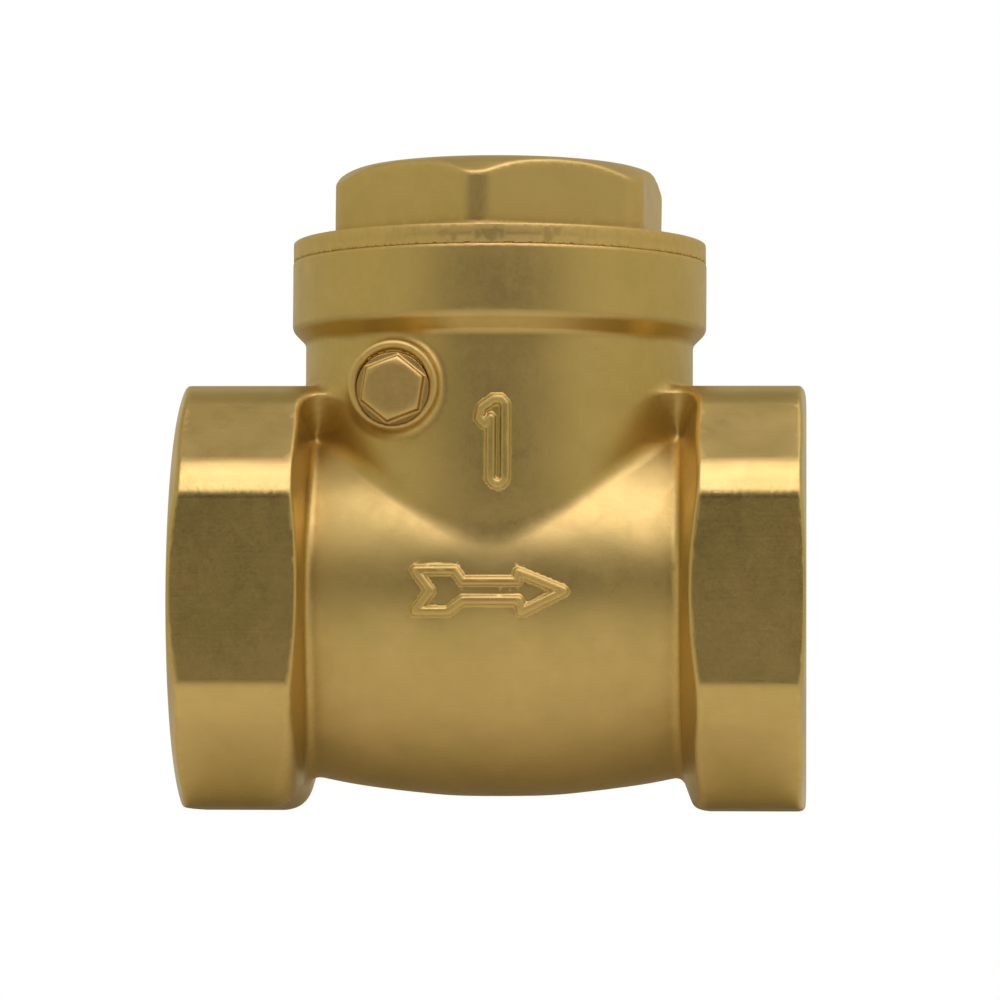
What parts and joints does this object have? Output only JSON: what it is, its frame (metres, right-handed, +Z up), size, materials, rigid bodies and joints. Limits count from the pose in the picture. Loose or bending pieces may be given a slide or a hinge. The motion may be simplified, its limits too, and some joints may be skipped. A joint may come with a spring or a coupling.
{
  "type": "swing check valve",
  "caption": "Brass swing check valve with octagonal threaded ends, hexagonal screwed bonnet, side hinge pin plug and a hanging disc.",
  "frame": {"origin": "middle of the underside, on the surface that the two bottom flats stand on", "axes": "+X the way the flow goes, from inlet to outlet, +Z up along the neck to the bonnet, and the hinge pin plug is on the -Y side"},
  "size_m": [0.062, 0.0416, 0.0639],
  "materials": {
    "forged_brass": "fine shot-blasted forging skin, satin",
    "bonnet_brass": "turned and blasted, satin",
    "plug_brass": "turned, satin",
    "inner_brass": "machined",
    "stainless_steel": "machined",
    "copper": "soft copper, dull",
    "seat_rubber": "moulded, matte",
    "ptfe": "waxy white"
  },
  "bodies": {
    "valve_body": {"body": "forged_brass"},
    "clapper_arm": {"disc_hanger": "inner_brass"},
    "clapper_disc": {"disc_holder": "inner_brass", "seat_disc": "seat_rubber", "seat_disc_washer": "stainless_steel", "seat_disc_nut": "stainless_steel", "hanger_washer": "stainless_steel", "hanger_nut": "stainless_steel"},
    "pin": {"hinge_pin": "stainless_steel"},
    "bonnet_seal": {"bonnet_gasket": "ptfe"},
    "bonnet_cap": {"bonnet": "bonnet_brass"},
    "plug_seal": {"plug_washer": "copper"},
    "pin_plug": {"hinge_pin_plug": "plug_brass"}
  },
  "joints": [
    {"name": "clapper_swing", "type": "hinge", "parent": "valve_body", "child": "clapper_arm", "pos_m": [-0.0091, 0, 0.04045], "axis": [0, -1, 0], "range_deg": [0, 55]},
    {"name": "disc_spin", "type": "hinge", "parent": "clapper_arm", "child": "clapper_disc", "pos_m": [-0.01175, 0, 0.0208], "axis": [0.9903, 0, 0.1392], "continuous": true},
    {"name": "pin_spin", "type": "hinge", "parent": "valve_body", "child": "pin", "pos_m": [-0.0091, 0, 0.04045], "axis": [0, -1, 0], "continuous": true},
    {"name": "bonnet_lift", "type": "slide", "parent": "valve_body", "child": "bonnet_seal", "axis": [0, 0, 1], "range_m": [0, 0.0075]},
    {"name": "bonnet_turn", "type": "hinge", "parent": "bonnet_seal", "child": "bonnet_cap", "pos_m": [0.0003, 0, 0.0548], "axis": [0, 0, 1], "range_deg": [0, 1800]},
    {"name": "plug_travel", "type": "slide", "parent": "valve_body", "child": "plug_seal", "axis": [0, -1, 0], "range_m": [0, 0.004]},
    {"name": "plug_turn", "type": "hinge", "parent": "plug_seal", "child": "pin_plug", "pos_m": [-0.0091, -0.0188, 0.04045], "axis": [0, -1, 0], "range_deg": [0, 1800]}
  ],
  "couplings": [
    {"joint": "bonnet_lift", "follows": "bonnet_turn", "m_per_rad": 0.00023873},
    {"joint": "plug_turn", "follows": "plug_travel", "rad_per_m": 7853.9}
  ]
}
